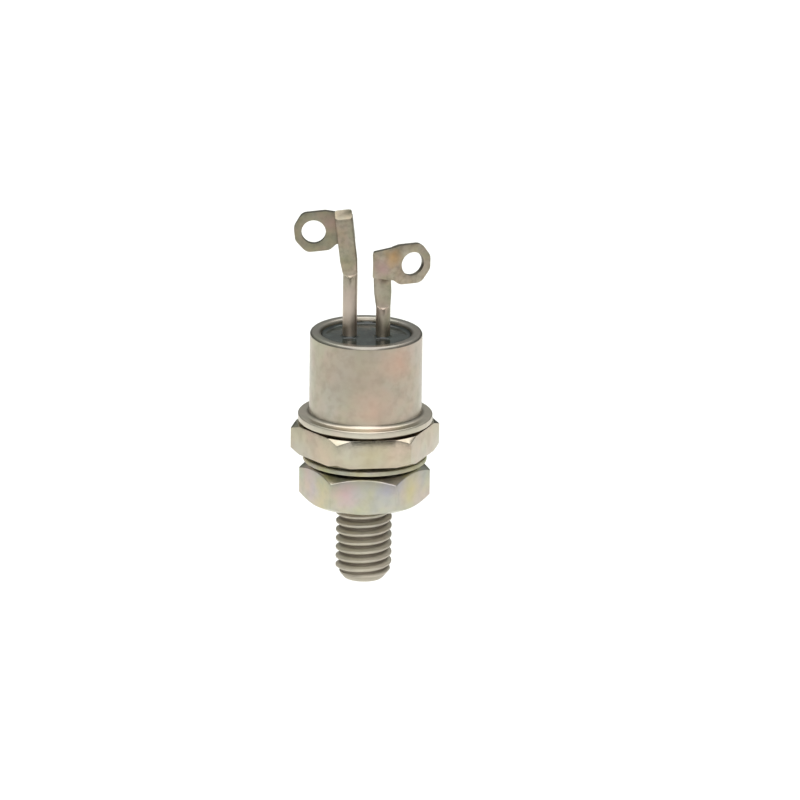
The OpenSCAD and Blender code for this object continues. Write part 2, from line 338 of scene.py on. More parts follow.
def thread_skin(play, low, high, trim):
    """A right-hand 60 degree thread between two heights, with its radius trimmed as trim(r, z) says."""
    flank = THREAD_DEPTH * math.tan(FLANK_ANGLE)
    root = PITCH - THREAD_CREST - 2 * flank
    crest_r = STUD_R + play
    root_r = ROOT_R + play
    profile = rounded(
        [
            (root_r, 0, 0),
            (root_r, root / 2, root),
            (crest_r, root / 2 + flank, CREST_EDGE),
            (crest_r, root / 2 + flank + THREAD_CREST, CREST_EDGE),
            (root_r, PITCH - root / 2, root),
            (root_r, PITCH, 0),
        ],
        closed=False,
    )
    # The groove's middle crosses the front, at -Y, where the photograph shows it
    start = THREAD_GROOVE_Z - PITCH * math.ceil((THREAD_GROOVE_Z - low) / PITCH + 1)
    turns = math.ceil((high - start) / PITCH) + 1
    bm = bmesh.new()
    verts, edges = loop(bm, [(0, -r, start + z) for r, z in profile], closed=False)
    bmesh.ops.spin(
        bm, geom=verts + edges, axis=AXIS, dvec=AXIS * PITCH / THREAD_STEPS, angle=math.tau,
        steps=THREAD_STEPS,
    )
    one_turn = everything(bm)
    for turn in range(1, turns):
        copy = bmesh.ops.duplicate(bm, geom=one_turn)["geom"]
        bmesh.ops.translate(bm, vec=AXIS * PITCH * turn, verts=only(copy, BMVert))
    bmesh.ops.remove_doubles(bm, verts=bm.verts, dist=MERGE)
    for v in bm.verts:
        r = v.co.xy.length
        v.co.xy *= trim(r, v.co.z) / r
    cut(bm, low, keep_above=True)
    cut(bm, high, keep_above=False)
    return bm


def stud_trim(r, z):
    """Stud radius: a chamfer takes the thread off at the tip, and an undercut ends it below the seat."""
    tip = TIP_R + (z - stud_tip) * (STUD_R - TIP_R) / TIP_CHAMFER
    undercut = UNDERCUT_R + max(0, -UNDERCUT - z)
    return min(r, tip, undercut)


def nut_trim(r, z):
    """Nut bore: a countersink opens the thread at both faces."""
    from_face = min(z - nut_low.z, nut_high.z - z)
    return max(r, STUD_R + NUT_PLAY + NUT_SINK - max(0, from_face))


def hexagon(flats, low, high, turn, bearing, chamfer, below, above):
    """A bar turned to shape and milled to six flats, its corners coned off outside the bearing circle.

    below and above are the (r, z) points inside the lower and the upper face.
    """
    apothem = flats / 2
    middle = (low + high) / 2
    edge_z = (high - low) / 4
    outline = [
        *below,
        (bearing, low),
        (flats, middle - edge_z),
        (flats, middle + edge_z),
        (bearing, high),
        *above,
    ]
    bm = turned(outline, HEX_STEPS, closed=False)
    # The two middle rings are turned too wide, then brought in to the flats and to the chamfers' edges
    for v in bm.verts:
        turned_r = v.co.xy.length
        if turned_r < bearing - MERGE:
            continue
        angle = math.atan2(v.co.y, v.co.x)
        hex_r = apothem / math.cos(angle % math.radians(60) - math.radians(30))
        coned_r = min(bearing, hex_r)
        drop = 0
        if turned_r > bearing + MERGE:
            drop = (hex_r - coned_r) * math.tan(chamfer)
            coned_r = hex_r
        z = low + drop if v.co.z < middle else high - drop
        v.co = (coned_r * math.cos(angle), coned_r * math.sin(angle), z)
    tidy(bm)
    edges = [
        e for e in bm.edges
        if e.calc_face_angle(0) > SHARP_ANGLE and all(v.co.xy.length > apothem - MERGE for v in e.verts)
        and any(abs(f.normal.z) < MERGE for f in e.link_faces)
    ]
    bevel(bm, edges, HEX_EDGE, segments=3)
    bmesh.ops.rotate(bm, matrix=Matrix.Rotation(turn, 3, AXIS), verts=bm.verts)
    return bm


def threaded_base():
    """Base hexagon, pad and threaded stud, turned from one bar."""
    bm = hexagon(
        BASE_FLATS, 0, base_top, BASE_TURN, BASE_FLATS / 2 + BASE_LAND, BASE_CHAMFER,
        below=[(STUD_R, 0)],
        above=[(PAD_R, base_top), (PAD_R, pad_top), (0, pad_top)],
    )
    tip = rounded(
        [
            (STUD_R, stud_tip + TIP_CHAMFER, 0),
            (TIP_R, stud_tip, TIP_ROUND),
            (0, stud_tip, 0),
        ],
        closed=False,
    )
    # The thread's skin ends where the tip's rounding starts, and its end is drawn in along that arc
    arc = tip[1:-1]
    stud = thread_skin(0, arc[0].y, -SEAT_FILLET, stud_trim)
    edges = open_edges(stud, arc[0].y - MERGE, arc[0].y + MERGE)
    for start, end in zip(arc, arc[1:]):
        grown = bmesh.ops.extrude_edge_only(stud, edges=edges)["geom"]
        edges = only(grown, BMEdge)
        verts = only(grown, BMVert)
        shrink = end.x / start.x
        bmesh.ops.scale(stud, vec=(shrink, shrink, 1), verts=verts)
        bmesh.ops.translate(stud, vec=AXIS * (end.y - start.y), verts=verts)
    bmesh.ops.holes_fill(stud, edges=edges)
    join(bm, stud)
    bmesh.ops.bridge_loops(bm, edges=open_edges(bm, -SEAT_FILLET - MERGE, MERGE))
    bmesh.ops.recalc_face_normals(bm, faces=bm.faces)
    return bm


def zinc_nut():
    """Hexagon nut with a real thread in its bore."""
    mouth_r = STUD_R + NUT_PLAY + NUT_SINK + NUT_LAND
    bm = hexagon(
        NUT_FLATS, nut_low.z, nut_high.z, NUT_TURN, NUT_FLATS / 2 - NUT_BEARING, NUT_CHAMFER,
        below=[(mouth_r, nut_low.z)],
        above=[(mouth_r, nut_high.z)],
    )
    join(bm, thread_skin(NUT_PLAY, nut_low.z, nut_high.z, nut_trim))
    for face in (nut_low.z, nut_high.z):
        bmesh.ops.bridge_loops(bm, edges=open_edges(bm, face - MERGE, face + MERGE))
    bmesh.ops.recalc_face_normals(bm, faces=bm.faces)
    return bm


# Can, weld ring and glass


def drawn_can():
    """Drawn can: a foot flange, a straight wall and a rim with rounded edges, which holds the glass."""
    flange_r = can_high.x
    bore_r = CAN_R - CAN_WALL
    rim_bore_r = CAN_R - RIM_W
    foot = can_low.z
    outline = rounded(
        [
            (bore_r, foot, 0),
            (flange_r, foot, FLANGE_EDGE),
            (flange_r, foot + FLANGE_T, FLANGE_EDGE),
            (CAN_R, foot + FLANGE_T, FOOT_R),
            (CAN_R, can_high.z, RIM_EDGE),
            (rim_bore_r, can_high.z, RIM_EDGE),
            (rim_bore_r, glass_low.z, 0),
            (bore_r, glass_low.z, 0),
        ]
    )
    return turned(outline)


def weld_ring():
    """The weld under the flange: a thin ring whose outer edge has melted round."""
    bore_r = CAN_R - CAN_WALL
    edge = (ring_high.z - ring_low.z) / 2 - MERGE
    outline = rounded(
        [
            (bore_r, ring_low.z, 0),
            (ring_high.x, ring_low.z, edge),
            (ring_high.x, ring_high.z, edge),
            (bore_r, ring_high.z, 0),
        ]
    )
    return turned(outline)


def circle(bm, radius, x, z, steps):
    """The edges of a level circle."""
    made = bmesh.ops.create_circle(
        bm, segments=steps, radius=radius, matrix=Matrix.Translation((x, 0, z)), cap_ends=False
    )
    return edges_of(made["verts"])


def meniscus(bm, wall_r, outward, x, steps):
    """Draws the glass that creeps up a wall, and returns its edges in the glass's level top."""
    rings = []
    for share in MENISCUS_RINGS:
        radius = wall_r + outward * share * MENISCUS_W
        height = MENISCUS_H * (1 - share) ** MENISCUS_POWER
        rings.append(circle(bm, radius, x, glass_high.z + height, steps))
    for inner, outer in zip(rings, rings[1:]):
        bmesh.ops.bridge_loops(bm, edges=inner + outer)
    return rings[-1]


def fused_glass():
    """Glass fused into the rim and round both posts, drawn up where it wets them."""
    bm = bmesh.new()
    level = meniscus(bm, glass_high.x, -1, 0, TURN_STEPS)
    for side in (-1, 1):
        level += meniscus(bm, POST_D / 2 + BOND_GAP, 1, side * POST_X, POST_MENISCUS_STEPS)
    bmesh.ops.triangle_fill(bm, edges=level, use_beauty=True, normal=AXIS)
    skin = bmesh.ops.extrude_face_region(bm, geom=bm.faces[:])["geom"]
    for v in only(skin, BMVert):
        v.co.z = glass_low.z
    bmesh.ops.recalc_face_normals(bm, faces=bm.faces)
    return bm


# Terminals


def ramp(value, start, end):
    """0 before start, 1 past end, and an even slope between them."""
    return min(1, max(0, (value - start) / (end - start)))


def post_point(angle, height, length, lean):
    """A point of a post's skin at a height over its pinch: round below, pressed flat by two jaws above."""
    across = math.cos(angle)
    through = math.sin(angle)
    # The jaws' lower edge sinks in at the middle, so that the flat ends in a V
    v_depth = V_DEPTH * (1 - abs(across))
    flat = ramp(height, -v_depth, LEDGE_H - v_depth)
    flat *= flat * (3 - 2 * flat)
    squareness = 1 + (BLADE_SQUARENESS - 1) * flat
    width = POST_D + (BLADE_W - POST_D) * ramp(height, 0, BLADE_FLARE)
    # They bite deepest just over that edge
    pressed = BLADE_T - BITE * ramp(height, BITE_LEN, LEDGE_H)
    thickness = POST_D + (pressed - POST_D) * flat
    x = width / 2 * math.copysign(abs(across) ** squareness, across)
    y = thickness / 2 * math.copysign(abs(through) ** squareness, through)
    # A crease runs down the tube from the point of the V
    crease = ramp(height, -V_DEPTH - CREASE_LEN, -V_DEPTH) * (1 - flat) * ramp(abs(across), CREASE_W, 0)
    y *= 1 - CREASE_DEPTH * crease
    if height >= length:
        height = length - SLANT * (0.5 - y / BLADE_T)
    bend = Matrix.Rotation(-lean * ramp(height, -SHOULDER, SHOULDER), 3, "Y")
    return bend @ Vector((x, y, height))


def post(x, pinch, lean, length):
    """A terminal: a tube through the glass, pressed flat above its pinch and cut off at a slant."""
    pressed_low = -V_DEPTH - CREASE_LEN
    pressed_high = 2 * SHOULDER
    heights = [post_low - pinch, glass_high.z + MENISCUS_H - pinch]
    for k in range(PINCH_STEPS + 1):
        heights.append(pressed_low + (pressed_high - pressed_low) * k / PINCH_STEPS)
    heights += [BLADE_FLARE / 2, BLADE_FLARE, BITE_LEN, length - 2 * SLANT, length]
    bm = bmesh.new()
    bmesh.ops.create_circle(bm, segments=POST_STEPS, radius=POST_D / 2)
    bmesh.ops.translate(bm, vec=AXIS * heights[0], verts=bm.verts)
    edges = bm.edges[:]
    for low, high in zip(heights, heights[1:]):
        grown = bmesh.ops.extrude_edge_only(bm, edges=edges)["geom"]
        edges = only(grown, BMEdge)
        bmesh.ops.translate(bm, vec=AXIS * (high - low), verts=only(grown, BMVert))
    for v in bm.verts:
        v.co = post_point(math.atan2(v.co.y, v.co.x), v.co.z, length, lean)
    bmesh.ops.holes_fill(bm, edges=bm.edges)
    bmesh.ops.recalc_face_normals(bm, faces=bm.faces)
    top = max(bm.faces, key=lambda f: f.calc_center_median().z)
    bevel(bm, top.edges[:], CUT_EDGE, segments=2)
    # The tube is hollow up to the pinch, for the lead inside
    foot = min(bm.faces, key=lambda f: f.calc_center_median().z)
    bmesh.ops.inset_individual(bm, faces=[foot], thickness=(POST_D - POST_BORE) / 2)
    bore = bmesh.ops.extrude_discrete_faces(bm, faces=[foot])["faces"][0]
    bmesh.ops.translate(bm, vec=AXIS * (-SHOULDER - heights[0]), verts=bore.verts)
    bmesh.ops.translate(bm, vec=(x, 0, pinch), verts=bm.verts)
    return bm


def bent(point):
    """Where a point of the flat lug lies once its eye is bent back round the blade's side."""
    run = point.x - BEND_X
    if run <= 0:
        return point
    bend_len = (BEND_R + LUG_T / 2) * GATE_BEND
    axis_y = BEND_R - LUG_FACE
    radius = axis_y - point.y
    angle = GATE_BEND * min(1, run / bend_len)
    beyond = max(0, run - bend_len)
    x = BEND_X + radius * math.sin(angle) + beyond * math.cos(angle)
    y = axis_y - radius * math.cos(angle) + beyond * math.sin(angle)
    return Vector((x, y, point.z))


def lug():
    """A stamped eyelet lug, flat on the front of a blade on the z axis, with its eye to the right."""
    eye_x = EYE_END - EYE_CUT.x
    eye_z = EYE_H / 2 - EYE_CUT.y
    outline = rounded(
        [
            (TAIL_X, -TAIL_H / 2, LUG_CORNER),
            (NECK_X, -NECK_LOW, LUG_CORNER),
            (EYE_START, -EYE_H / 2, EYE_CORNER),
            (eye_x, -EYE_H / 2, EYE_CORNER),
            (EYE_END, -eye_z, EYE_CORNER),
            (EYE_END, eye_z, EYE_CORNER),
            (eye_x, EYE_H / 2, EYE_CORNER),
            (EYE_START, EYE_H / 2, EYE_CORNER),
            (TAIL_X, TAIL_H / 2, LUG_CORNER),
        ]
    )
    bm = bmesh.new()
    edges = loop(bm, [(x, -LUG_FACE, z) for x, z in outline])[1]
    upright = Matrix.Translation((EYE_REACH, -LUG_FACE, 0)) @ Matrix.Rotation(math.pi / 2, 4, "X")
    hole = bmesh.ops.create_circle(bm, segments=HOLE_STEPS, radius=EYE_HOLE / 2, matrix=upright)["verts"]
    edges += edges_of(hole)
    bmesh.ops.triangle_fill(bm, edges=edges, use_beauty=True, normal=(0, -1, 0))
    for k in range(BEND_STEPS + 1):
        line = BEND_X + (BEND_R + LUG_T / 2) * GATE_BEND * k / BEND_STEPS
        bmesh.ops.bisect_plane(bm, geom=everything(bm), plane_co=(line, 0, 0), plane_no=(1, 0, 0))
    grown = bmesh.ops.extrude_face_region(bm, geom=bm.faces[:])["geom"]
    bmesh.ops.translate(bm, vec=(0, -LUG_T, 0), verts=only(grown, BMVert))
    tidy(bm)
    rims = [
        e for e in bm.edges
        if e.calc_face_angle(0) > LUG_RIM_ANGLE
        and any(abs(f.normal.y) > LUG_FLAT_FACING for f in e.link_faces)
    ]
    bevel(bm, rims, LUG_EDGE, segments=4)
    return bm


def placed(bm, *steps):
    """Moves a bmesh by the product of the steps."""
    place = Matrix.Identity(4)
    for step in steps:
        place = place @ step
    bmesh.ops.transform(bm, matrix=place, verts=bm.verts)
    return bm


def cathode_lug():
    """Flat lug on the back of the taller blade, with its eye to the left."""
    return placed(
        lug(),
        Matrix.Translation((-POST_X, 0, CATHODE_PINCH)),
        Matrix.Rotation(-CATHODE_LEAN, 4, "Y"),
        Matrix.Translation(AXIS * LUG_RISE),
        Matrix.Rotation(math.pi, 4, "Z"),
    )


def gate_lug():
    """Bent lug on the front of the shorter blade, with its eye to the right and back."""
    bm = lug()
    for v in bm.verts:
        v.co = bent(v.co)
    return placed(
        bm,
        Matrix.Translation((POST_X, 0, GATE_PINCH)),
        Matrix.Rotation(-GATE_LEAN, 4, "Y"),
        Matrix.Translation(AXIS * LUG_RISE),
        Matrix.Rotation(GATE_DROOP, 4, "Y"),
    )


# Lock washer


def toothed_washer():
    """Internal-tooth lock washer: its teeth grow in from the ring's bore and twist out of the sheet."""
    outer_r = washer_high.x
    root_r = outer_r - WASHER_RIM
    half_t = WASHER_T / 2
    outline = rounded(
        [
            (root_r, -half_t, 0),
            (outer_r, -half_t, WASHER_EDGE),
            (outer_r, half_t, WASHER_EDGE),
            (root_r, half_t, 0),
        ]
    )
    bm = turned(outline, HEX_STEPS)
    bore = [f for f in bm.faces if all(v.co.xy.length < root_r + MERGE for v in f.verts)]
    for tooth in range(TOOTH_COUNT):
        radial = Vector((1, 0, 0))
        radial.rotate(Matrix.Rotation(math.tau * tooth / TOOTH_COUNT, 3, AXIS))
        root = [f for f in bore if f.is_valid and f.calc_center_median().xy.angle(radial.xy) < TOOTH_HALF]
        for inward, twist in TOOTH_STATIONS:
            grown = bmesh.ops.extrude_face_region(bm, geom=root)["geom"]
            bmesh.ops.delete(bm, geom=root, context="FACES")
            root = only(grown, BMFace)
            verts = only(grown, BMVert)
            bmesh.ops.rotate(bm, matrix=Matrix.Rotation(math.radians(twist), 3, radial), verts=verts)
            bmesh.ops.translate(bm, vec=-radial * inward * (root_r - WASHER_BORE_R), verts=verts)
    bmesh.ops.recalc_face_normals(bm, faces=bm.faces)
    bmesh.ops.translate(bm, vec=AXIS * (washer_low.z + washer_high.z) / 2, verts=bm.verts)
    return bm


# Finishes


def linear(hex_colour):
    """An sRGB hex colour as the linear RGBA that a socket takes."""
    parts = [int(hex_colour[i:i + 2], 16) / 255 for i in (1, 3, 5)]
    return (*[c / 12.92 if c <= 0.04045 else ((c + 0.055) / 1.055) ** 2.4 for c in parts], 1)


def per_metre(size_mm):
    """The texture scale that gives features of a real size in millimetres."""
    return 1 / (size_mm * MM)


def add(tree, kind, inputs=None, **settings):
    """Adds a node: settings are its properties, and inputs gives a socket a value or a node's output."""
    made = tree.nodes.new(kind)
    for name, value in settings.items():
        setattr(made, name, value)
    for socket, value in (inputs or {}).items():
        if isinstance(value, bpy.types.NodeSocket):
            tree.links.new(value, made.inputs[socket])
        else:
            made.inputs[socket].default_value = value
    return made


# Sockets of a Mix node that mixes colours, and of one that mixes numbers
MIX_A = 6
MIX_B = 7
MIX_OUT = 2
MIX_NUMBER_A = 2
MIX_NUMBER_B = 3
MIX_NUMBER_OUT = 0

# Noise values between which a cloud fades in
CLOUD_FADE = (0.44, 0.68)
# Where the first cloud's noise is cut from 4-D noise, and the step to the next one's
CLOUD_CUT = 7
CLOUD_CUT_STEP = 5
CLOUD_DETAIL = 3
# Noise values between which the grain goes from its glossiest to its dullest
GRAIN_FADE = (0.3, 0.7)
GRAIN_DETAIL = 4
# How far the edge of a patch strays from a circle, in millimetres
PATCH_STRAY = 1.2
# How squarely a lug's surface faces front or back, from its sheared edges to its flats
SHEARED_FACING = (0.5, 0.85)
SHEARED_DARKER = 0.75
# How much paler painted light makes the can's flange, and how much greyer its rim is
FLANGE_PAINTED_LIGHT = 0.38
RIM_GREYER = 0.45
# How dark painted shade and some residue leave the thread's grooves, and how pale and dull the cut thread
# is
GROOVE_DARKER = 0.8
THREAD_PALER = 0.45
THREAD_ROUGHNESS = 0.6
GLASS_IOR = 1.52
SILICON_IOR = 3.4


def cloud_masks(tree, place, clouds):
    """Soft clouds all over a piece, each as its tint and the output that says where it lies."""
    masks = []
    for k, (tint, share, size) in enumerate(clouds):
        cloud = add(
            tree, "ShaderNodeTexNoise",
            {
                "Vector": place, "W": CLOUD_CUT + CLOUD_CUT_STEP * k,
                "Scale": per_metre(size), "Detail": CLOUD_DETAIL,
            },
            noise_dimensions="4D",
        )
        mask = add(
            tree, "ShaderNodeMapRange",
            {
                "Value": cloud.outputs["Fac"], "From Min": CLOUD_FADE[0], "From Max": CLOUD_FADE[1],
                "To Max": share,
            },
        )
        masks.append((tint, mask.outputs[0]))
    return masks


def patch_masks(tree, place, patches):
    """Round patches with ragged edges, each as its tint and the output that says where it lies."""
    stray = Vector((PATCH_STRAY, PATCH_STRAY, PATCH_STRAY)) * MM
    wander = add(
        tree, "ShaderNodeTexNoise",
        {"Vector": place, "Scale": per_metre(PATCH_STRAY), "Detail": CLOUD_DETAIL},
    )
    ragged = add(
        tree, "ShaderNodeVectorMath", {0: wander.outputs["Color"], 1: stray, 2: place},
        operation="MULTIPLY_ADD",
    )
    masks = []
    for tint, share, centre, radius in patches:
        middle = Vector(centre) * MM + stray / 2
        away = add(tree, "ShaderNodeVectorMath", {0: ragged.outputs[0], 1: middle}, operation="DISTANCE")
        mask = add(
            tree, "ShaderNodeMapRange",
            {"Value": away.outputs["Value"], "From Max": radius * MM, "To Min": share, "To Max": 0},
        )
        masks.append((tint, mask.outputs[0]))
    return masks


def surface(name, ground, clouds, grain_mm, grain_depth_mm, roughness, metallic=1, patches=()):
    """A surface with a ground colour, tinted clouds and patches, and a grain in its gloss and its relief.

    Each cloud is (tint, share, size) and each patch (tint, share, centre, radius), in millimetres.
    roughness is its lowest and its highest value. The real grain of a plated or ground metal is finer
    than a render shows, so grain_mm is drawn coarser. Returns the material, its shader, the place on
    the piece and the colour, so that a finish can add to them.
    """
    material = bpy.data.materials.new(name)
    material.use_nodes = True
    tree = material.node_tree
    shader = tree.nodes["Principled BSDF"]
    shader.inputs["Metallic"].default_value = metallic
    place = add(tree, "ShaderNodeTexCoord").outputs["Object"]
    layers = cloud_masks(tree, place, clouds)
    if patches:
        layers += patch_masks(tree, place, patches)
    colour = linear(ground)
    for tint, mask in layers:
        mixed = add(
            tree, "ShaderNodeMix", {"Factor": mask, MIX_A: colour, MIX_B: linear(tint)}, data_type="RGBA"
        )
        colour = mixed.outputs[MIX_OUT]
    grain = add(
        tree, "ShaderNodeTexNoise",
        {"Vector": place, "Scale": per_metre(grain_mm), "Detail": GRAIN_DETAIL},
    )
    gloss = add(
        tree, "ShaderNodeMapRange",
        {
            "Value": grain.outputs["Fac"], "From Min": GRAIN_FADE[0], "From Max": GRAIN_FADE[1],
            "To Min": roughness[0], "To Max": roughness[1],
        },
    )
    relief = add(
        tree, "ShaderNodeBump",
        {"Height": grain.outputs["Fac"], "Distance": grain_depth_mm * MM, "Strength": 1},
    )
    tree.links.new(gloss.outputs[0], shader.inputs["Roughness"])
    tree.links.new(relief.outputs[0], shader.inputs["Normal"])
    tree.links.new(colour, shader.inputs["Base Color"])
    return material, shader, place, colour


def nickel_on_steel():
    """Satin nickel plate on drawn steel: a warm light grey, clouded pink and green.

    Painted light makes its flange paler, and its rim is greyer.
    """
    clouds = [("#bda597", 0.5, 2.4), ("#a9ac93", 0.55, 2.2), ("#b3b0a9", 0.5, 3), ("#857b6d", 0.32, 0.8)]
    patches = [
        ("#978a7c", 0.6, (-0.4, -4.8, 7.6), 4.2), ("#c9a08e", 0.55, (2.9, -3.9, 9.1), 2.2),
        ("#c3a08f", 0.5, (0.6, -4.8, 4.9), 2.4), ("#8a8276", 0.55, (0, -4.7, 10.9), 2.4),
    ]
    material, shader, place, colour = surface(
        "satin_nickel_on_steel", "#b3a899", clouds, grain_mm=0.14, grain_depth_mm=0.001,
        roughness=(0.3, 0.35), patches=patches,
    )
    tree = material.node_tree
    height = add(tree, "ShaderNodeSeparateXYZ", {0: place}).outputs["Z"]
    wall_foot = can_low.z + FLANGE_T
    wall_head = can_high.z - RIM_EDGE
    # Painted light pales the flange from the top of the foot's fillet down, and the rim greys from where
    # it starts
    bands = [
        ("#d9d1c4", FLANGE_PAINTED_LIGHT, wall_foot + FOOT_R, wall_foot),
        ("#6e7173", RIM_GREYER, wall_head, wall_head + RIM_EDGE / 2),
    ]
    for tint, share, fade_start, fade_end in bands:
        mask = add(
            tree, "ShaderNodeMapRange",
            {"Value": height, "From Min": fade_start * MM, "From Max": fade_end * MM, "To Max": share},
        )
        mixed = add(
            tree, "ShaderNodeMix", {"Factor": mask.outputs[0], MIX_A: colour, MIX_B: linear(tint)},
            data_type="RGBA",
        )
        colour = mixed.outputs[MIX_OUT]
    tree.links.new(colour, shader.inputs["Base Color"])
    return material


def nickel_on_copper():
    """Satin nickel plate on turned copper: yellower than the can's in patches, and dull on the thread."""
    clouds = [("#c0a798", 0.5, 2.6), ("#aeae95", 0.55, 2.4), ("#b1afa8", 0.5, 3), ("#857b6d", 0.32, 0.8)]
    patches = [("#ac9f78", 0.55, (0.6, -5.6, 1.3), 2.2), ("#c3a795", 0.5, (-3.6, -4.8, 0.6), 2.2)]
    material, shader, place, colour = surface(
        "satin_nickel_on_copper", "#b2a897", clouds, grain_mm=0.14, grain_depth_mm=0.0015,
        roughness=(0.14, 0.22), patches=patches,
    )
    tree = material.node_tree
    level = add(tree, "ShaderNodeVectorMath", {0: place, 1: (1, 1, 0)}, operation="MULTIPLY")
    radius = add(tree, "ShaderNodeVectorMath", {0: level.outputs[0]}, operation="LENGTH").outputs["Value"]
    # Painted shade, with some residue, darkens the thread towards its roots, but not on the tip's chamfer
    depth = add(
        tree, "ShaderNodeMapRange",
        {
            "Value": radius, "From Min": ROOT_R * MM, "From Max": (STUD_R - THREAD_DEPTH / 2) * MM,
            "To Min": GROOVE_DARKER, "To Max": 0,
        },
    )
    height = add(tree, "ShaderNodeSeparateXYZ", {0: place}).outputs["Z"]
    over_tip = add(
        tree, "ShaderNodeMapRange",
        {"Value": height, "From Min": stud_tip * MM, "From Max": (stud_tip + TIP_CHAMFER) * MM},
    )
    groove_shade_and_residue = add(
        tree, "ShaderNodeMath", {0: depth.outputs[0], 1: over_tip.outputs[0]}, operation="MULTIPLY"
    )
    on_stud = add(tree, "ShaderNodeMath", {0: radius, 1: (STUD_R + NUT_PLAY) * MM}, operation="LESS_THAN")
    paler = add(tree, "ShaderNodeMath", {0: on_stud.outputs[0], 1: THREAD_PALER}, operation="MULTIPLY")
    cut_metal = add(
        tree, "ShaderNodeMix", {"Factor": paler.outputs[0], MIX_A: colour, MIX_B: linear("#d8d2c6")},
        data_type="RGBA",
    )
    grooved = add(
        tree, "ShaderNodeMix",
        {"Factor": groove_shade_and_residue.outputs[0], MIX_A: cut_metal.outputs[MIX_OUT], MIX_B: linear("#5d5144")},
        data_type="RGBA",
    )
    tree.links.new(grooved.outputs[MIX_OUT], shader.inputs["Base Color"])
    turned_gloss = shader.inputs["Roughness"].links[0].from_socket
    rough = add(
        tree, "ShaderNodeMix",
        {"Factor": on_stud.outputs[0], MIX_NUMBER_A: turned_gloss, MIX_NUMBER_B: THREAD_ROUGHNESS},
    )
    tree.links.new(rough.outputs[MIX_NUMBER_OUT], shader.inputs["Roughness"])
    return material


def welded_steel():
    """Resistance-welded steel: dull, with brown heat tint."""
    clouds = [("#4a4036", 0.7, 0.8), ("#7a6448", 0.5, 0.8)]
    material, *_ = surface(
        "welded_steel", "#6b6358", clouds, grain_mm=0.1, grain_depth_mm=0.01, roughness=(0.45, 0.65)
    )
    return material


def tin_plate(name, ground, patches):
    """Dull tin plate: warm grey, with olive and mauve clouds and a few tan stains."""
    clouds = [("#9d857e", 0.6, 1.6), ("#83866f", 0.7, 1.5), ("#a98f68", 0.25, 1.2), ("#6f675a", 0.4, 0.4)]
    return surface(
        name, ground, clouds, grain_mm=0.1, grain_depth_mm=0.004, roughness=(0.34, 0.5), patches=patches
    )


def stamped_tin(name, ground, patches):
    """Dull tin plate on a stamped lug, whose sheared edges are bare and dark."""
    material, shader, _, colour = tin_plate(name, ground, patches)
    tree = material.node_tree
    facing = add(tree, "ShaderNodeTexCoord").outputs["Normal"]
    through = add(tree, "ShaderNodeSeparateXYZ", {0: facing}).outputs["Y"]
    flat = add(tree, "ShaderNodeMath", {0: through}, operation="ABSOLUTE")
    edge = add(
        tree, "ShaderNodeMapRange",
        {
            "Value": flat.outputs[0], "From Min": SHEARED_FACING[0], "From Max": SHEARED_FACING[1],
            "To Min": SHEARED_DARKER, "To Max": 0,
        },
    )
    sheared = add(
        tree, "ShaderNodeMix", {"Factor": edge.outputs[0], MIX_A: colour, MIX_B: linear("#4d473c")},
        data_type="RGBA",
    )
    tree.links.new(sheared.outputs[MIX_OUT], shader.inputs["Base Color"])
    return material


def sealing_glass():
    """Fused sealing glass: nearly black slate, glossy, slightly wavy where it set."""
    clouds = [("#39443f", 0.6, 1.2), ("#060808", 0.7, 1.1)]
    material, shader, *_ = surface(
        "fused_sealing_glass", "#161b19", clouds, grain_mm=0.9, grain_depth_mm=0.03,
        roughness=(0.08, 0.2), metallic=0,
    )
    shader.inputs["IOR"].default_value = GLASS_IOR
    return material


def passivated_zinc(name, ground, roughness, patches=()):
    """Zinc plate under a thin passivate film: pale, iridescent in soft pink, lilac, yellow and green."""
    clouds = [
        ("#a9b397", 0.6, 2.8), ("#c9a9a8", 0.45, 2.6), ("#adaabb", 0.5, 2.8), ("#c5b882", 0.45, 2.6),
        ("#8f8c80", 0.3, 0.7),
    ]
    material, *_ = surface(
        name, ground, clouds, grain_mm=0.12, grain_depth_mm=0.002, roughness=roughness, patches=patches
    )
    return material


def ground_molybdenum():
    """Ground molybdenum: neutral grey with fine grinding marks."""
    material, *_ = surface(
        "ground_molybdenum", "#8d8e90", [("#77787c", 0.6, 0.7)], grain_mm=0.06, grain_depth_mm=0.004,
        roughness=(0.3, 0.5),
    )
    return material


def lapped_silicon():
    """Lapped silicon: dark blue-grey, no metal but shiny, because its refractive index is high."""
    material, shader, *_ = surface(
        "lapped_silicon", "#1d2027", [("#2b303b", 0.6, 0.9)], grain_mm=0.05, grain_depth_mm=0.002,
        roughness=(0.2, 0.35), metallic=0,
    )
    shader.inputs["IOR"].default_value = SILICON_IOR
    return material


def tinned_wire():
    """Tinned copper wire: soft grey, where thin tin lets a little copper through."""
    material, *_ = surface(
        "tinned_wire", "#a79e90", [("#b08c70", 0.4, 0.5)], grain_mm=0.08, grain_depth_mm=0.004,
        roughness=(0.35, 0.5),
    )
    return material


# The object

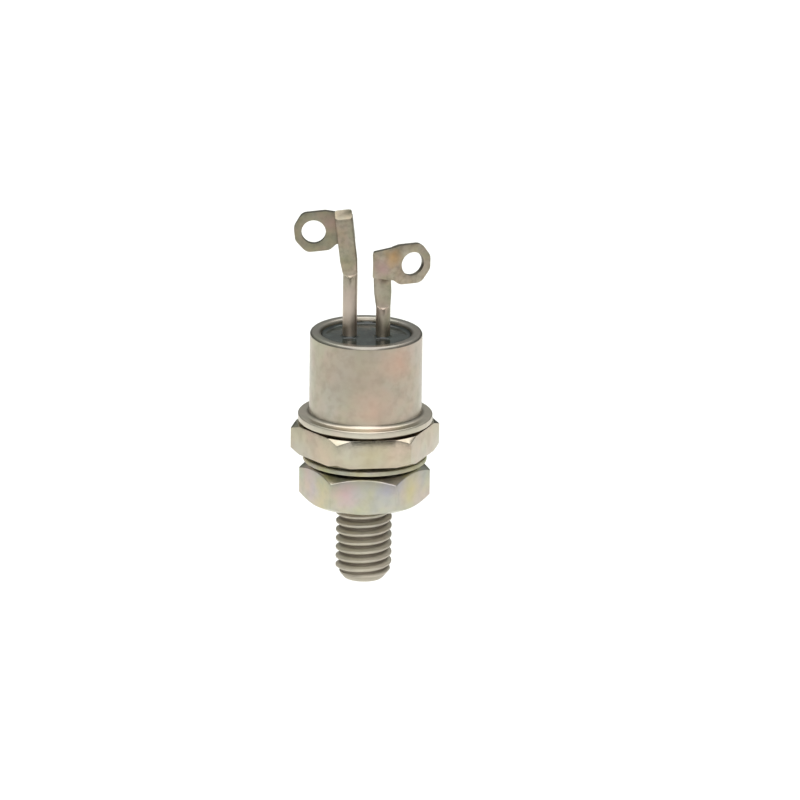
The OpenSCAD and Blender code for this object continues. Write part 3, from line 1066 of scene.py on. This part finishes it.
tube_tin, *_ = tin_plate(
    "dull_tin_plate_on_tube", "#9e9685",
    [
        # Painted light pales the posts' lower part, most on the cathode post; the cathode blade's top is
        # darker
        ("#d2c3b7", 0.9, (-1.4, -0.6, 12.6), 4), ("#5f584b", 0.8, (-2.1, 0, 21.4), 1.1),
        # Painted shade darkens the back corner of the cathode blade's top, and a painted shadow falls on
        # the gate blade under its lug
        ("#2e2d25", 0.95, (-1.5, 0.3, 21.3), 0.7), ("#3a3128", 0.8, (1.55, -0.5, 15.5), 0.6),
    ],
)
cathode_tin = stamped_tin(
    "dull_tin_plate_on_flat_lug", "#868576", [("#a1827c", 0.6, (-3, 0.6, 20.2), 1.2)]
)
gate_tin = stamped_tin(
    "dull_tin_plate_on_bent_lug", "#aba191",
    [("#b58f5c", 0.7, (2.2, -0.9, 17.6), 1), ("#a88a8c", 0.6, (1.3, -0.9, 16.6), 1)],
)
washer_zinc = passivated_zinc("yellow_passivated_zinc", "#b9ba92", (0.5, 0.65))
nut_zinc = passivated_zinc(
    "clear_passivated_zinc", "#b3b1a4", (0.28, 0.34),
    [
        ("#cb9fa2", 0.5, (-1.7, -4.9, -2.6), 1.4), ("#a9a6c0", 0.5, (1.9, -4.9, -2.3), 1.5),
        ("#c9b878", 0.6, (4.1, -2.8, -2.7), 2), ("#c3aaa4", 0.5, (-5.2, -1.5, -2), 1.5),
    ],
)
piece(threaded_base(), "threaded_base", "device", "stud_base", nickel_on_copper())
piece(weld_ring(), "weld_bead", "device", "weld_ring", welded_steel())
piece(drawn_can(), "drawn_can", "device", "cap", nickel_on_steel())
piece(fused_glass(), "fused_glass", "device", "glass_seal", sealing_glass())
cathode_post = post(-POST_X, CATHODE_PINCH, CATHODE_LEAN, CATHODE_BLADE)
gate_post = post(POST_X, GATE_PINCH, GATE_LEAN, GATE_BLADE)
piece(cathode_post, "cathode_post", "device", "cathode_tube", tube_tin)
piece(gate_post, "gate_post", "device", "gate_tube", tube_tin)
piece(cathode_lug(), "cathode_eyelet_lug", "device", "cathode_lug", cathode_tin)
piece(gate_lug(), "gate_eyelet_lug", "device", "gate_lug", gate_tin)
piece(toothed_washer(), "toothed_washer", "washer", "lock_washer", washer_zinc)
piece(zinc_nut(), "zinc_nut", "nut", "hex_nut", nut_zinc)

molybdenum = ground_molybdenum()
wire = tinned_wire()
inner_finishes = {
    "base_plate": molybdenum,
    "pellet": lapped_silicon(),
    "cathode_plate": molybdenum,
    "cathode_lead": wire,
    "gate_lead": wire,
}
for node, finish in inner_finishes.items():
    for material_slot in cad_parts[node].material_slots:
        material_slot.material = finish


# Studio

# Heights of a direction, from 0 level to 1 upright, between which the walls lighten
WALL_FADE = (0.02, 0.5)


def studio_floor():
    """A plain pale disc below the stud, with a slight paper tooth."""
    bm = bmesh.new()
    bmesh.ops.create_circle(bm, cap_ends=True, segments=FLOOR_STEPS, radius=FLOOR_R * MM)
    bmesh.ops.translate(bm, vec=AXIS * (stud_tip - FLOOR_DROP) * MM, verts=bm.verts)
    mesh = bpy.data.meshes.new("studio_floor")
    bm.to_mesh(mesh)
    bm.free()
    paper, *_ = surface(
        "white_paper", "#f4f4f2", [("#efefec", 0.5, 40)], grain_mm=2, grain_depth_mm=0.05,
        roughness=(0.7, 0.9), metallic=0,
    )
    mesh.materials.append(paper)
    floor = bpy.data.objects.new("studio_floor", mesh)
    bpy.context.collection.objects.link(floor)


def studio_room():
    """The room: dark at the horizon and lighter above in the metal's mirror, but plain white behind it."""
    world = bpy.data.worlds.new("studio_room")
    bpy.context.scene.world = world
    world.use_nodes = True
    tree = world.node_tree
    heading = add(tree, "ShaderNodeTexCoord").outputs["Generated"]
    height = add(tree, "ShaderNodeSeparateXYZ", {0: heading}).outputs["Z"]
    rise = add(
        tree, "ShaderNodeMapRange",
        {"Value": height, "From Min": WALL_FADE[0], "From Max": WALL_FADE[1]},
    )
    walls = add(
        tree, "ShaderNodeMix",
        {"Factor": rise.outputs[0], MIX_A: linear("#383a38"), MIX_B: linear("#c8ccc8")},
        data_type="RGBA",
    )
    path = add(tree, "ShaderNodeLightPath").outputs["Is Camera Ray"]
    seen = add(
        tree, "ShaderNodeMix", {"Factor": path, MIX_A: walls.outputs[MIX_OUT], MIX_B: linear("#ffffff")},
        data_type="RGBA",
    )
    tree.links.new(seen.outputs[MIX_OUT], tree.nodes["Background"].inputs["Color"])


def softbox(name, place, size, radiance):
    """A square soft light that faces the object. Places and sizes are in metres."""
    light = bpy.data.lights.new(name, "AREA")
    light.size = size
    light.energy = radiance * math.pi * size ** 2
    lamp = bpy.data.objects.new(name, light)
    lamp.location = place
    lamp.rotation_euler = (-Vector(place)).to_track_quat("-Z", "Y").to_euler()
    bpy.context.collection.objects.link(lamp)


def photo_camera():
    """A long lens at the photograph's angle, aimed so that the seat falls on its pixel."""
    forward = Vector((0, math.cos(ELEVATION), -math.sin(ELEVATION)))
    level_up = Vector((0, math.sin(ELEVATION), math.cos(ELEVATION)))
    level_right = Vector((1, 0, 0))
    right = level_right * math.cos(ROLL) + level_up * math.sin(ROLL)
    up = level_up * math.cos(ROLL) - level_right * math.sin(ROLL)
    aim = right * (PHOTO_PX / 2 - SEAT_PX.x) / PX_PER_MM + up * (SEAT_PX.y - PHOTO_PX / 2) / PX_PER_MM
    lens = bpy.data.cameras.new("photo_camera")
    lens.sensor_width = SENSOR_W
    lens.lens = SENSOR_W * CAMERA_DISTANCE * PX_PER_MM / PHOTO_PX
    lens.clip_end = CAMERA_REACH * MM
    camera = bpy.data.objects.new("photo_camera", lens)
    turn = Matrix((right, up, -forward)).transposed().to_4x4()
    camera.matrix_world = Matrix.Translation((aim - forward * CAMERA_DISTANCE) * MM) @ turn
    bpy.context.collection.objects.link(camera)
    bpy.context.scene.camera = camera


studio_floor()
studio_room()
softbox("overhead_softbox", place=(0, 0, 1.1), size=1.6, radiance=1.9)
softbox("front_softbox", place=(0, -1.2, 0.8), size=1.2, radiance=2)
photo_camera()
# Plain sRGB colours, with no film curve
bpy.context.scene.view_settings.view_transform = "Standard"
